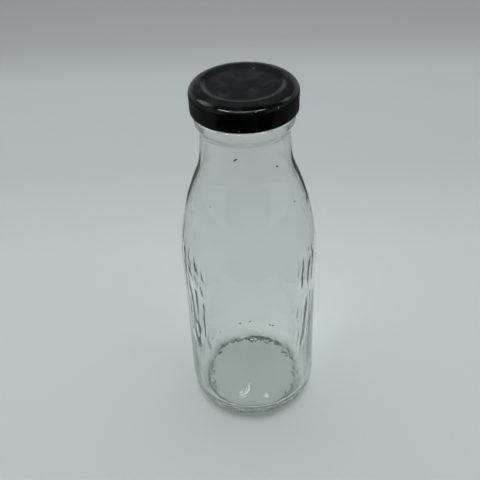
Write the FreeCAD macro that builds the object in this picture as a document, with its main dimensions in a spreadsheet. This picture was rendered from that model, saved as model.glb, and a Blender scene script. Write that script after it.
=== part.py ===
import FreeCAD, Part
import math
import os

import Sketcher
from FreeCAD import Vector

# A 250 ml glass milk bottle with a 38 mm twist-off cap, in three pieces: the glass,
# the enamelled tinplate shell of the cap and the sealing ring moulded into the cap.
# The bottle stands on z = 0 with its axis on Z. The cap is shown screwed home.

# Driving dimensions in millimetres and degrees. Heights are measured from the base.
DIMENSIONS = {
    # glass body
    "base_diameter": 60.2,
    "body_diameter": 58.5,
    "taper_top": 57.0,
    "wall": 2.2,
    "heel_curve": 7.0,
    "heel_slope": 55.0,
    "foot_diameter": 50.9,
    "foot_round": 1.6,
    "inner_heel_curve": 7.0,
    "base_thickness": 4.5,
    "punt_edge_radius": 23.2,
    "punt_bevel": 0.8,
    "punt_height": 3.0,
    "shoulder_start": 82.0,
    "shoulder_curve": 109.5,
    "neck_curve": 34.0,
    "neck_taper": 3.6,
    "bore_diameter": 30.8,
    # glass finish
    "rim_height": 161.0,
    "finish_diameter": 34.8,
    "lip_round": 1.0,
    "bore_round": 0.5,
    "bead_diameter": 38.0,
    "bead_face_low": 148.6,
    "bead_top": 151.8,
    "bead_round": 1.2,
    "bead_flank": 30.0,
    "flank_round": 3.0,
    # thread
    "thread_starts": 3,
    "thread_lead": 12.0,
    "thread_arc": 130.0,
    "thread_diameter": 37.0,
    "thread_root": 1.6,
    "thread_crest": 0.8,
    "thread_start_height": 153.2,
    "thread_embed": 0.3,
    # cap shell
    "cap_diameter": 40.4,
    "cap_top": 162.4,
    "cap_height": 10.0,
    "sheet_thickness": 0.25,
    "cap_shoulder": 4.2,
    "panel_radius": 14.1,
    "panel_depth": 0.8,
    "curl_round": 0.65,
    "lug_tip_radius": 17.9,
    "lug_thickness": 0.9,
    "lug_arc": 22.0,
    "lug_angle": 25.0,
    "lug_lift": 0.2,
    # sealing ring
    "seal_gap": 0.05,
    "seal_inner_radius": 15.2,
    "seal_crown_radius": 16.9,
    "seal_skirt_radius": 17.9,
    "seal_skirt_angle": 30.0,
}

SHEET_NAME = "Sizes"


class Size:
    """A length or an angle: its number, and the formula that gives it from the sheet."""

    def __init__(self, number, formula):
        self.number = float(number)
        self.formula = formula

    def __add__(self, other):
        other = as_size(other)
        return Size(self.number + other.number, f"({self.formula} + {other.formula})")

    def __sub__(self, other):
        other = as_size(other)
        return Size(self.number - other.number, f"({self.formula} - {other.formula})")

    def __mul__(self, other):
        other = as_size(other)
        return Size(self.number * other.number, f"({self.formula} * {other.formula})")

    def __truediv__(self, other):
        other = as_size(other)
        return Size(self.number / other.number, f"({self.formula} / {other.formula})")


def as_size(value):
    """A plain number as a Size, and a Size as it is."""
    return value if isinstance(value, Size) else Size(value, repr(float(value)))


def sine(angle):
    return Size(math.sin(math.radians(angle.number)), f"sin({angle.formula})")


def cosine(angle):
    return Size(math.cos(math.radians(angle.number)), f"cos({angle.formula})")


def tangent(angle):
    return Size(math.tan(math.radians(angle.number)), f"tan({angle.formula})")


def root(square):
    return Size(math.sqrt(square.number), f"sqrt({square.formula})")


def make_sheet(doc):
    """Writes the driving dimensions to a sheet and returns them as Sizes by name."""
    sheet = doc.addObject("Spreadsheet::Sheet", SHEET_NAME)
    sizes = {}
    for row, (name, number) in enumerate(DIMENSIONS.items(), start=1):
        sheet.set(f"A{row}", name)
        sheet.set(f"B{row}", str(number))
        sheet.setAlias(f"B{row}", name)
        sizes[name] = Size(number, f"{SHEET_NAME}.{name}")
    doc.recompute()
    return sizes


def make_body(doc, node_name, label):
    body = doc.addObject("PartDesign::Body", node_name)
    body.Label = label
    body.Placement = FreeCAD.Placement()
    return body


def origin_feature(body, role):
    for feature in body.Origin.OriginFeatures:
        if feature.Role == role:
            return feature
    raise ValueError(f"{body.Label} has no {role}")


def arc_middle(start, end, radius):
    """The point halfway along an arc. A positive radius bulges to the right of start-end."""
    chord = end - start
    half = chord.Length / 2
    bulge = abs(radius) - math.sqrt(max(radius * radius - half * half, 0.0))
    right = Vector(chord.y, -chord.x, 0).normalize()
    return (start + end) / 2 + right * math.copysign(bulge, radius)


def bind(sketch, constraint, size):
    """Adds a dimension to the sketch and ties it to its formula."""
    index = sketch.addConstraint(constraint)
    sketch.renameConstraint(index, f"size_{index}")
    sketch.setExpression(f"Constraints.size_{index}", size.formula)


def place_vertex(sketch, index, position, across, up):
    """Fixes one vertex at its distances from the sketch's two axes."""
    if across.number:
        distance = Sketcher.Constraint("DistanceX", -1, 1, index, position, across.number)
        bind(sketch, distance, across)
    else:
        sketch.addConstraint(Sketcher.Constraint("PointOnObject", index, position, -2))
    if up.number:
        distance = Sketcher.Constraint("DistanceY", -1, 1, index, position, up.number)
        bind(sketch, distance, up)
    else:
        sketch.addConstraint(Sketcher.Constraint("PointOnObject", index, position, -1))


def draw_section(body, name, corners):
    """Draws a closed section in the plane through the axis.

    Each corner is (distance from the axis, height, bend). The bend is the radius of the
    arc that leads to the next corner, positive where the arc bulges to the right of the
    way there, or None where the side is straight.
    """
    sketch = body.newObject("Sketcher::SketchObject", name)
    sketch.AttachmentSupport = (origin_feature(body, "XZ_Plane"), [""])
    sketch.MapMode = "FlatFace"
    points = [Vector(across.number, up.number, 0) for across, up, _ in corners]
    ends = []
    for index, (_, _, bend) in enumerate(corners):
        start = points[index]
        end = points[(index + 1) % len(points)]
        if bend is None:
            sketch.addGeometry(Part.LineSegment(start, end))
        else:
            middle = arc_middle(start, end, bend.number)
            sketch.addGeometry(Part.Arc(start, middle, end))
        first_is_start = (sketch.getPoint(index, 1) - start).Length < 1e-6
        ends.append((1, 2) if first_is_start else (2, 1))
    for index, (across, up, bend) in enumerate(corners):
        following = (index + 1) % len(corners)
        joined = Sketcher.Constraint("Coincident", index, ends[index][1], following, ends[following][0])
        sketch.addConstraint(joined)
        place_vertex(sketch, index, ends[index][0], across, up)
        if bend is not None:
            radius = as_size(abs(bend.number)) if bend.number < 0 else bend
            formula = f"abs({bend.formula})" if bend.number < 0 else bend.formula
            bind(sketch, Sketcher.Constraint("Radius", index, radius.number), Size(radius.number, formula))
    return sketch


def revolve(body, name, sketch, angle=None):
    """Turns a section about the axis: all the way round, or evenly to both sides of it."""
    solid = body.newObject("PartDesign::Revolution", name)
    solid.Profile = sketch
    solid.ReferenceAxis = (sketch, ["V_Axis"])
    if angle is None:
        solid.Angle = 360
    else:
        solid.setExpression("Angle", angle.formula)
        solid.Midplane = True
    body.Document.recompute()
    return solid


def repeat_round_axis(body, name, feature, count):
    """Spaces copies of a feature evenly round the axis."""
    pattern = body.newObject("PartDesign::PolarPattern", name)
    pattern.Originals = [feature]
    pattern.Axis = (origin_feature(body, "Z_Axis"), [""])
    pattern.Angle = 360
    pattern.setExpression("Occurrences", count.formula)
    body.Tip = pattern
    body.Document.recompute()
    return pattern


def glass_section(size):
    """The corners of the glass wall, from the punt out, up to the rim and back down inside."""
    zero = as_size(0)
    base_radius = size["base_diameter"] / 2
    body_radius = size["body_diameter"] / 2
    bore_radius = size["bore_diameter"] / 2
    finish_radius = size["finish_diameter"] / 2
    bead_radius = size["bead_diameter"] / 2
    inner_radius = body_radius - size["wall"]

    # The punt is a low dome inside a bevelled edge, and the heel slopes down to the foot.
    dome_edge = size["punt_edge_radius"] - size["punt_bevel"]
    dome_rise = size["punt_height"] - size["punt_bevel"]
    dome_curve = (dome_edge * dome_edge + dome_rise * dome_rise) / (dome_rise * 2)
    foot_radius = size["foot_diameter"] / 2
    foot_run = size["foot_round"] * tangent(size["heel_slope"] / 2)
    foot_across = foot_radius + foot_run * cosine(size["heel_slope"])
    foot_up = foot_run * sine(size["heel_slope"])
    heel_centre = base_radius - size["heel_curve"]
    heel_reach = sine(size["heel_slope"]) * (heel_centre - foot_radius)
    heel_height = (size["heel_curve"] + heel_reach) / cosine(size["heel_slope"])
    heel_across = heel_centre + size["heel_curve"] * sine(size["heel_slope"])
    heel_up = heel_height - size["heel_curve"] * cosine(size["heel_slope"])

    # The shoulder and neck arcs touch: their centres are the sum of their radii apart.
    shoulder_centre = body_radius - size["shoulder_curve"]
    neck_centre = bore_radius + size["wall"] + size["neck_curve"]
    reach = size["shoulder_curve"] + size["neck_curve"]
    run = neck_centre - shoulder_centre
    neck_height = size["shoulder_start"] + root(reach * reach - run * run)
    rise = neck_height - size["shoulder_start"]

    def between_arcs(shoulder_radius):
        """Where an arc of this radius about the shoulder's centre meets the neck's arc."""
        across = shoulder_centre + run * shoulder_radius / reach
        up = size["shoulder_start"] + rise * shoulder_radius / reach
        return across, up

    outer_joint = between_arcs(size["shoulder_curve"])
    inner_joint = between_arcs(size["shoulder_curve"] - size["wall"])

    neck_end = neck_centre - size["neck_curve"] * cosine(size["neck_taper"])
    neck_end_height = neck_height - size["neck_curve"] * sine(size["neck_taper"])

    # The neck's taper runs up to the flank that flares out to the bead.
    flank_top = bead_radius - size["bead_round"] * (as_size(1) - cosine(size["bead_flank"]))
    flank_top_height = size["bead_face_low"] - size["bead_round"] * sine(size["bead_flank"])
    taper = tangent(size["neck_taper"])
    flank = tangent(size["bead_flank"])
    flank_foot_height = (
        neck_end + neck_end_height * taper - flank_top + flank_top_height * flank
    ) / (flank + taper)
    flank_foot = neck_end - (flank_foot_height - neck_end_height) * taper
    blend = size["flank_round"] * tangent((size["bead_flank"] + size["neck_taper"]) / 2)

    floor_height = size["punt_height"] + size["base_thickness"]
    floor_edge = inner_radius - size["inner_heel_curve"]
    floor_rise = size["punt_height"]
    floor_curve = (floor_edge * floor_edge + floor_rise * floor_rise) / (floor_rise * 2)
    inner_heel_top = size["base_thickness"] + size["inner_heel_curve"]

    outside = [
        (zero, size["punt_height"], dome_curve * -1),
        (dome_edge, size["punt_bevel"], None),
        (size["punt_edge_radius"], zero, None),
        (foot_radius - foot_run, zero, size["foot_round"]),
        (foot_across, foot_up, None),
        (heel_across, heel_up, size["heel_curve"]),
        (base_radius, heel_height, None),
        (body_radius, size["taper_top"], None),
        (body_radius, size["shoulder_start"], size["shoulder_curve"]),
        (*outer_joint, size["neck_curve"] * -1),
        (neck_end, neck_end_height, None),
        (
            flank_foot + blend * sine(size["neck_taper"]),
            flank_foot_height - blend * cosine(size["neck_taper"]),
            size["flank_round"] * -1,
        ),
        (
            flank_foot + blend * sine(size["bead_flank"]),
            flank_foot_height + blend * cosine(size["bead_flank"]),
            None,
        ),
        (flank_top, flank_top_height, size["bead_round"]),
        (bead_radius, size["bead_face_low"], None),
        (bead_radius, size["bead_top"] - size["bead_round"], size["bead_round"]),
        (bead_radius - size["bead_round"], size["bead_top"], None),
        (finish_radius, size["bead_top"], None),
        (finish_radius, size["rim_height"] - size["lip_round"], size["lip_round"]),
        (finish_radius - size["lip_round"], size["rim_height"], None),
    ]
    inside = [
        (bore_radius + size["bore_round"], size["rim_height"], size["bore_round"]),
        (bore_radius, size["rim_height"] - size["bore_round"], None),
        (bore_radius, neck_height, size["neck_curve"] + size["wall"]),
        (*inner_joint, (size["shoulder_curve"] - size["wall"]) * -1),
        (inner_radius, size["shoulder_start"], None),
        (inner_radius, inner_heel_top, size["inner_heel_curve"] * -1),
        (floor_edge, size["base_thickness"], floor_curve),
        (zero, floor_height, None),
    ]
    return outside + inside


def add_thread(doc, body, size):
    """Winds one thread onto the finish and repeats it for every start."""
    foot = size["finish_diameter"] / 2 - size["thread_embed"]
    crest = size["thread_diameter"] / 2
    flank = (size["thread_root"] - size["thread_crest"]) / 2
    base = size["thread_start_height"]
    corners = [
        (foot, base, None),
        (crest, base + flank, None),
        (crest, base + flank + size["thread_crest"], None),
        (foot, base + size["thread_root"], None),
    ]
    sketch = draw_section(body, "ThreadSection", corners)
    thread = body.newObject("PartDesign::AdditiveHelix", "Thread")
    thread.Profile = sketch
    thread.ReferenceAxis = (sketch, ["V_Axis"])
    thread.Mode = "pitch-height-angle"
    thread.setExpression("Pitch", size["thread_lead"].formula)
    thread.setExpression("Height", (size["thread_lead"] * size["thread_arc"] / 360).formula)
    doc.recompute()
    return repeat_round_axis(body, "Threads", thread, size["thread_starts"])


def make_bottle(doc, size):
    body = make_body(doc, "glass_bottle", "glass_bottle")
    section = draw_section(body, "WallSection", glass_section(size))
    revolve(body, "Wall", section)
    add_thread(doc, body, size)
    return body


def shell_section(size):
    """The corners of the cap's sheet: over the top to the curl, and back along the inside."""
    zero = as_size(0)
    sheet = size["sheet_thickness"]
    radius = size["cap_diameter"] / 2
    shoulder_edge = radius - size["cap_shoulder"]
    shoulder_foot = size["cap_top"] - size["cap_shoulder"]
    panel_top = size["cap_top"] - size["panel_depth"]
    step_top = size["panel_radius"] + size["panel_depth"]
    step_shift = sheet * math.tan(math.radians(22.5))
    curl_centre = radius - size["curl_round"]
    curl_height = size["cap_top"] - size["cap_height"] + size["curl_round"]
    curl_inner = size["curl_round"] - sheet
    return [
        (zero, panel_top, None),
        (size["panel_radius"], panel_top, None),
        (step_top, size["cap_top"], None),
        (shoulder_edge, size["cap_top"], size["cap_shoulder"] * -1),
        (radius, shoulder_foot, None),
        (radius, curl_height, size["curl_round"] * -1),
        (curl_centre, curl_height - size["curl_round"], size["curl_round"] * -1),
        (curl_centre - size["curl_round"], curl_height, size["curl_round"] * -1),
        (curl_centre, curl_height + size["curl_round"], None),
        (curl_centre, curl_height + curl_inner, curl_inner),
        (curl_centre - curl_inner, curl_height, curl_inner),
        (curl_centre, curl_height - curl_inner, curl_inner),
        (radius - sheet, curl_height, None),
        (radius - sheet, shoulder_foot, size["cap_shoulder"] - sheet),
        (shoulder_edge, size["cap_top"] - sheet, None),
        (step_top + step_shift, size["cap_top"] - sheet, None),
        (size["panel_radius"] + step_shift, panel_top - sheet, None),
        (zero, panel_top - sheet, None),
    ]


def add_lugs(doc, body, size):
    """Adds one lug to the curl and repeats it, one for every start of the thread."""
    curl_centre = size["cap_diameter"] / 2 - size["curl_round"]
    underside = size["cap_top"] - size["cap_height"] + size["lug_lift"]
    lug_root = curl_centre - size["curl_round"] + size["sheet_thickness"] / 2
    corners = [
        (size["lug_tip_radius"], underside, None),
        (lug_root, underside, None),
        (lug_root, underside + size["lug_thickness"], None),
        (size["lug_tip_radius"], underside + size["lug_thickness"], None),
    ]
    sketch = draw_section(body, "LugSection", corners)
    lug = revolve(body, "Lug", sketch, size["lug_arc"])
    return repeat_round_axis(body, "Lugs", lug, size["thread_starts"])


def make_cap_shell(doc, size):
    body = make_body(doc, "cap_shell", "cap_shell")
    section = draw_section(body, "SheetSection", shell_section(size))
    revolve(body, "Sheet", section)
    add_lugs(doc, body, size)
    body.setExpression("Placement.Rotation.Angle", size["lug_angle"].formula)
    return body


def seal_section(size):
    """The corners of the sealing ring, which fills the channel above the glass rim."""
    gap = size["seal_gap"]
    radius = size["cap_diameter"] / 2
    channel_round = size["cap_shoulder"] - size["sheet_thickness"] - gap
    shoulder_edge = radius - size["cap_shoulder"]
    shoulder_foot = size["cap_top"] - size["cap_shoulder"]
    top = size["cap_top"] - size["sheet_thickness"] - gap
    rest = size["rim_height"] + gap
    skirt = shoulder_edge + channel_round * cosine(size["seal_skirt_angle"])
    skirt_foot = shoulder_foot + channel_round * sine(size["seal_skirt_angle"])
    return [
        (size["seal_inner_radius"], rest, None),
        (size["seal_crown_radius"], rest, None),
        (size["seal_skirt_radius"], skirt_foot, None),
        (skirt, skirt_foot, channel_round),
        (shoulder_edge, top, None),
        (size["seal_inner_radius"], top, None),
    ]


def make_seal(doc, size):
    body = make_body(doc, "sealing_ring", "sealing_ring")
    section = draw_section(body, "RingSection", seal_section(size))
    revolve(body, "Ring", section)
    return body


def check(doc, bodies):
    """Stops on any object that failed, and on a sub-part that isn't one valid solid."""
    for item in doc.Objects:
        if "Invalid" in item.State or "Error" in item.State:
            raise RuntimeError(f"{item.Label} failed: {item.State}")
    for body in bodies:
        shape = body.Shape
        if shape.isNull() or not shape.isValid() or len(shape.Solids) != 1:
            raise RuntimeError(f"{body.Label} isn't one valid solid")


def main():
    doc = FreeCAD.newDocument("milk_bottle")
    size = make_sheet(doc)
    bodies = [make_bottle(doc, size), make_cap_shell(doc, size), make_seal(doc, size)]
    doc.recompute()
    check(doc, bodies)
    os.makedirs("parts", exist_ok=True)
    for body in bodies:
        body.Shape.exportStep(f"parts/{body.Label}.step")
        box = body.Shape.BoundBox
        print(
            f"{body.Label}: {body.Shape.Volume / 1000:.2f} cm3,",
            f"x {box.XMin:.2f} to {box.XMax:.2f}, z {box.ZMin:.2f} to {box.ZMax:.2f}",
        )


main()
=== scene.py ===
"""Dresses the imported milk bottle: clear moulded glass, a black twist-off cap and its sealing ring.

Sizes of the glass, the cap and the ring are in millimetres and degrees, as a mould drawing gives
them. Those of the finishes and of the studio are in metres. Meshes are built in metres, in the
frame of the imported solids, with the bottle's axis on Z and its foot on z = 0.
"""

import logging
import math
from collections.abc import Callable
from dataclasses import dataclass, field, replace
from enum import Enum

import bmesh
import bpy
from mathutils import Matrix, Vector, noise


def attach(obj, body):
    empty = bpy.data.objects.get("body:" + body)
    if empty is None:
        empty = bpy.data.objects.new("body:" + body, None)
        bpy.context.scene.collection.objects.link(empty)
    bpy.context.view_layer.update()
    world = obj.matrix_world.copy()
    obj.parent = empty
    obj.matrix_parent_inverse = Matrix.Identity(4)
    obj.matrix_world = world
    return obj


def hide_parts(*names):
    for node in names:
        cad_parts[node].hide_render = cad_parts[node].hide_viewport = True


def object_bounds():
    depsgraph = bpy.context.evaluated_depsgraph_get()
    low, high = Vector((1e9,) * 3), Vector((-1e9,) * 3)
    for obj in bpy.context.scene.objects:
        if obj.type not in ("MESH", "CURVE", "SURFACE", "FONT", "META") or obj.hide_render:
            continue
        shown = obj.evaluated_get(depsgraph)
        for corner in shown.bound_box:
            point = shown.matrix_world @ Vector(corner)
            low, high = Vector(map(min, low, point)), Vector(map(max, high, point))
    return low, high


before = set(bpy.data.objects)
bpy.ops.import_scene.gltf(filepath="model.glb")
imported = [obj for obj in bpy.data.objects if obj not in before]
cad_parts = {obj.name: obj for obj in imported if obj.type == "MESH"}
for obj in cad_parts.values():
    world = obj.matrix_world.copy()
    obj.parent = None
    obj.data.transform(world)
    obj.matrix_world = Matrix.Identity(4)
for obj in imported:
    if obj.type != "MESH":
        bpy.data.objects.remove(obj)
CAD_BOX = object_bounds()

MM = 0.001
Colour = tuple[float, float, float]
Place = tuple[float, float, float]
Pair = tuple[float, float]
Socket = bpy.types.NodeSocket
Fill = dict[str | int, object]
log = logging.getLogger("milk_bottle")


def smooth_step(low: float, high: float, value: float) -> float:
    """Rises smoothly from 0 at one value to 1 at another.

    Args:
        low: Where the rise starts.
        high: Where the rise ends; it may lie below low, for a fall.
        value: The value to place on the rise.

    Returns:
        A share from 0 to 1.
    """
    share = min(1.0, max(0.0, (value - low) / (high - low)))
    return share * share * (3.0 - 2.0 * share)


def band(low: float, high: float, edge: float, value: float) -> float:
    """Is 1 between two values and falls smoothly to 0 over an edge outside them.

    Args:
        low: The lower side of the band.
        high: The upper side of the band.
        edge: How far outside the band the fall reaches.
        value: The value to test.

    Returns:
        A share from 0 to 1.
    """
    return smooth_step(low - edge, low, value) * smooth_step(high + edge, high, value)


@dataclass(frozen=True)
class Wave:
    """A waviness that closes on itself round the bottle.

    The grain is about how many waves go round, the stretch is the length of one along the axis,
    the seed picks one of the many such waves, and the reach is how far it goes.
    """

    grain: float
    stretch: float
    seed: float
    reach: float = 1.0

    def at(self, angle: float, height: float = 0.0, shift: float = 0.0) -> float:
        """Gives the wave at a place.

        Args:
            angle: The place round the axis, in radians.
            height: The place along the axis, in millimetres.
            shift: Added to the seed, to pick a sister of this wave.

        Returns:
            A value from about -1 to 1, times the reach.
        """
        turn = self.grain / 6.0
        across = math.cos(angle) * turn
        around = math.sin(angle) * turn + (self.seed + shift)
        return self.reach * noise.noise(Vector((across, around, height / self.stretch)))


def put_in_scene(name: str, data: bpy.types.ID) -> bpy.types.Object:
    """Makes an object of a mesh, a lamp or a camera, and links it to the scene."""
    thing = bpy.data.objects.new(name, data)
    bpy.context.scene.collection.objects.link(thing)
    return thing


class Wall(Enum):
    """The parts of a turned section that get their own relief or finish."""

    PUNT = "punt"
    HEEL = "heel"
    OUTSIDE = "outside"
    FINISH = "finish"
    INSIDE = "inside"
    INNER_HEEL = "inner heel"
    FLOOR = "floor"
    ENAMEL = "enamel"
    CURL = "curl"
    LACQUER = "lacquer"
    COMPOUND = "compound"


@dataclass(frozen=True)
class Station:
    """A point of a section, with the part of the wall it belongs to."""

    radius: float
    height: float
    wall: Wall


@dataclass
class Outline:
    """A section through a turned piece, drawn with what it is made of on the pen's left.

    Where it runs the other way round, as the cap's does, the faces are turned over afterwards.
    """

    wall: Wall = Wall.OUTSIDE
    stations: list[Station] = field(default_factory=list)

    def start(self, radius: float, height: float, wall: Wall) -> None:
        """Puts the pen down at the first point, on the given part of the wall."""
        self.wall = wall
        self.stations.append(Station(radius, height, wall))

    def line_to(self, radius: float, height: float, spacing: float, wall: Wall | None = None) -> None:
        """Draws a straight run.

        Args:
            radius: The radius where the run ends.
            height: The height where the run ends.
            spacing: The longest step between stations.
            wall: The part of the wall from here on, if it changes.
        """
        self.wall = wall or self.wall
        last = self.stations[-1]
        steps = max(1, math.ceil(math.hypot(radius - last.radius, height - last.height) / spacing))
        for step in range(1, steps + 1):
            share = step / steps
            across = last.radius + (radius - last.radius) * share
            up = last.height + (height - last.height) * share
            self.stations.append(Station(across, up, self.wall))

    def arc_to(
        self, radius: float, height: float, bend: float, spacing: float, wall: Wall | None = None
    ) -> None:
        """Draws an arc of less than half a turn.

        Args:
            radius: The radius where the arc ends.
            height: The height where the arc ends.
            bend: The arc's own radius; positive turns left on the way, negative turns right.
            spacing: The longest step between stations.
            wall: The part of the wall from here on, if it changes.
        """
        self.wall = wall or self.wall
        last = self.stations[-1]
        chord = Vector((radius - last.radius, height - last.height))
        half = chord.length / 2.0
        rise = math.sqrt(max(0.0, bend * bend - half * half))
        left = Vector((-chord.y, chord.x)).normalized()
        middle = Vector((last.radius, last.height)) + chord / 2.0
        centre = middle + left * math.copysign(rise, bend)
        sweep = 2.0 * math.asin(min(1.0, half / abs(bend))) * math.copysign(1.0, bend)
        first = Vector((last.radius, last.height)) - centre
        steps = max(2, math.ceil(abs(sweep) * abs(bend) / spacing))
        for step in range(1, steps + 1):
            turn = sweep * step / steps
            across = centre.x + first.x * math.cos(turn) - first.y * math.sin(turn)
            up = centre.y + first.x * math.sin(turn) + first.y * math.cos(turn)
            self.stations.append(Station(max(0.0, across), up, self.wall))


Relief = Callable[[Station, float], Pair]


@dataclass
class Turning:
    """Turns an outline about Z into a mesh, moving each point by the relief of its place."""

    name: str
    outline: Outline
    segments: int
    relief: Relief
    closed: bool = False
    finishes: dict[Wall, int] = field(default_factory=dict)

    def _rings(self) -> list[list[Vector]]:
        """Gives the points of each station round the axis, or a single point on the axis."""
        rings = []
        for station in self.outline.stations:
            if station.radius < 1e-6:
                rings.append([Vector((0.0, 0.0, station.height * MM))])
                continue
            ring = []
            for segment in range(self.segments):
                angle = math.tau * segment / self.segments
                radius, height = self.relief(station, angle)
                place = Vector((radius * math.cos(angle), radius * math.sin(angle), height))
                ring.append(place * MM)
            rings.append(ring)
        return rings

    def build(self) -> bpy.types.Object:
        """Makes the mesh.

        Returns:
            The smooth-shaded object, linked to the scene, with no finish yet.
        """
        points: list[Vector] = []
        starts = []
        rings = self._rings()
        for ring in rings:
            starts.append(len(points))
            points.extend(ring)
        faces = []
        slots = []
        pairs = list(zip(range(len(rings)), range(1, len(rings))))
        if self.closed:
            pairs.append((len(rings) - 1, 0))
        for low, high in pairs:
            slot = self.finishes.get(self.outline.stations[high].wall, 0)
            for segment in range(self.segments):
                following = (segment + 1) % self.segments
                bottom = (starts[low] + segment, starts[low] + following)
                top = (starts[high] + following, starts[high] + segment)
                if len(rings[low]) == 1:
                    bottom = (starts[low],)
                elif len(rings[high]) == 1:
                    top = (starts[high],)
                faces.append(bottom + top)
                slots.append(slot)
        mesh = bpy.data.meshes.new(self.name)
        mesh.from_pydata(points, [], faces)
        mesh.polygons.foreach_set("material_index", slots)
        mesh.shade_smooth()
        mesh.validate()
        return put_in_scene(self.name, mesh)


class NodeBoard:
    """A node tree with short ways to add shader nodes and fill their sockets."""

    def __init__(self, tree: bpy.types.NodeTree) -> None:
        """Clears the tree."""
        self.tree = tree
        self.tree.nodes.clear()

    def add(
        self, kind: str, fill: Fill | None = None, **settings: object
    ) -> bpy.types.Node:
        """Adds a node.

        Args:
            kind: The node's type, without its "ShaderNode" prefix.
            fill: A value, or the output socket to wire in, for each input socket that it names.
            **settings: Properties of the node itself.

        Returns:
            The new node.
        """
        node = self.tree.nodes.new("ShaderNode" + kind)
        for name, value in settings.items():
            setattr(node, name, value)
        for name, value in (fill or {}).items():
            if isinstance(value, Socket):
                self.tree.links.new(value, node.inputs[name])
            else:
                node.inputs[name].default_value = value
        return node

    def place(self) -> Socket:
        """Gives the coordinates of the object, in metres."""
        return self.add("TexCoord").outputs["Object"]

    def speckle(self, place: Socket, scale: float, detail: float = 2.0) -> Socket:
        """Adds noise of the given scale and gives its value."""
        return self.add("TexNoise", {"Vector": place, "Scale": scale, "Detail": detail}).outputs["Fac"]

    def spread(self, value: Socket, source: Pair, target: Pair) -> Socket:
        """Maps a value from one range to another.

        Args:
            value: The value to map.
            source: The range it comes in.
            target: What the two ends of that range become.

        Returns:
            The mapped value, kept within the target range.
        """
        ends = zip(("From Min", "From Max", "To Min", "To Max"), source + target)
        fill = {"Value": value, **dict(ends)}
        return self.add("MapRange", fill, interpolation_type="SMOOTHSTEP").outputs["Result"]

    def reckon(self, operation: str, first: Socket, second: Socket) -> Socket:
        """Works out one sum of two values, such as ADD, MULTIPLY or MAXIMUM."""
        return self.add("Math", {0: first, 1: second}, operation=operation).outputs["Value"]

    def blend(self, share: Socket, first: Colour | Socket, second: Colour | Socket) -> Socket:
        """Mixes two colours, each plain or from a socket, by a share from 0 to 1.

        Args:
            share: How much of the second colour shows.
            first: The colour at a share of 0.
            second: The colour at a share of 1.

        Returns:
            The socket that gives the mixed colour.
        """
        mix = self.add("Mix", data_type="RGBA")
        for name, colour in (("A", first), ("B", second)):
            if isinstance(colour, Socket):
                self.tree.links.new(colour, mix.inputs[name])
            else:
                mix.inputs[name].default_value = (*colour, 1.0)
        self.tree.links.new(share, mix.inputs["Factor"])
        return mix.outputs["Result"]

    def relief(self, height: Socket, depth: float, strength: float) -> Socket:
        """Makes a bump of the given depth in metres, and gives its normal."""
        fill = {"Height": height, "Distance": depth, "Strength": strength}
        return self.add("Bump", fill).outputs["Normal"]

    def coat(self, fill: Fill) -> None:
        """Covers the piece with one solid finish, its sockets filled as given."""
        shader = self.add("BsdfPrincipled", fill)
        self.add("OutputMaterial", {"Surface": shader.outputs["BSDF"]})

    def wear(
        self, worn: Socket, colours: tuple[Colour, Colour], roughness: Pair
    ) -> Fill:
        """Makes the colour and roughness of a finish that is worn in places.

        Args:
            worn: How worn the finish is, from 0 to 1.
            colours: Its colour where it is sound and where it is worn.
            roughness: Its roughness where it is sound and where it is worn.

        Returns:
            What fills those two sockets of the finish.
        """
        return {
            "Base Color": self.blend(worn, *colours),
            "Roughness": self.spread(worn, (0.0, 1.0), roughness),
        }


def start_material(name: str) -> tuple[bpy.types.Material, NodeBoard]:
    """Makes an empty material, and the board for its nodes."""
    made = bpy.data.materials.new(name)
    made.use_nodes = True
    return made, NodeBoard(made.node_tree)


@dataclass(frozen=True)
class ClearGlass:
    """Moulded soda-lime glass: clear, faintly olive where light passes far through it."""

    tint: Colour = (0.945, 0.955, 0.952)
    depth_colour: Colour = (0.62, 0.70, 0.62)
    depth_density: float = 22.0
    shade: Colour = (0.968, 0.972, 0.970)
    # Below foot_top, lamp rays take the foot's much darker shade: a painted shadow under and round the
    # foot.
    painted_foot_shadow: Colour = (0.285, 0.285, 0.275)
    foot_top: float = 0.0042
    foot_edge: float = 0.0008
    scuff_top: float = 0.0035

    def material(self) -> bpy.types.Material:
        """Builds the glass, with ripples, handling marks, a scuffed foot and a painted shadow under the
        foot.
        """
        made, board = start_material("moulded_clear_glass")
        place = board.place()
        height = board.add("SeparateXYZ", {"Vector": place}).outputs["Z"]
        handling = board.spread(board.speckle(place, 70.0, 4.0), (0.52, 0.75), (0.0, 0.035))
        scratches = board.spread(board.speckle(place, 900.0, 3.0), (0.45, 0.7), (0.2, 1.0))
        foot = board.spread(height, (0.0, self.scuff_top), (0.22, 0.0))
        scuffs = board.reckon("MULTIPLY", foot, scratches)
        drag = board.add("Mapping", {"Vector": place, "Scale": (1.0, 1.0, 0.35)}).outputs["Vector"]
        ripple = board.speckle(drag, 150.0, 1.0)
        glass = board.add(
            "BsdfPrincipled",
            {
                "Base Color": (*self.tint, 1.0),
                "IOR": 1.5,
                "Transmission Weight": 1.0,
                "Specular IOR Level": 0.5,
                "Roughness": board.reckon("ADD", handling, scuffs),
                "Normal": board.relief(ripple, 0.00025, 0.25),
            },
        )
        # Painted shadow: shadow rays through the lowest 4.2 mm of glass turn much darker, which darkens
        # the floor under and round the foot.
        low = board.spread(height, (self.foot_top - self.foot_edge, self.foot_top), (1.0, 0.0))
        clear = board.add("BsdfTransparent", {"Color": board.blend(low, self.shade, self.painted_foot_shadow)})
        lit = board.add("LightPath").outputs["Is Shadow Ray"]
        share = board.add("MixShader", {"Fac": lit, 1: glass.outputs["BSDF"], 2: clear.outputs["BSDF"]})
        depth = board.add(
            "VolumeAbsorption", {"Color": (*self.depth_colour, 1.0), "Density": self.depth_density}
        )
        parts = {"Surface": share.outputs["Shader"], "Volume": depth.outputs["Volume"]}
        board.add("OutputMaterial", parts)
        return made


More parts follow.
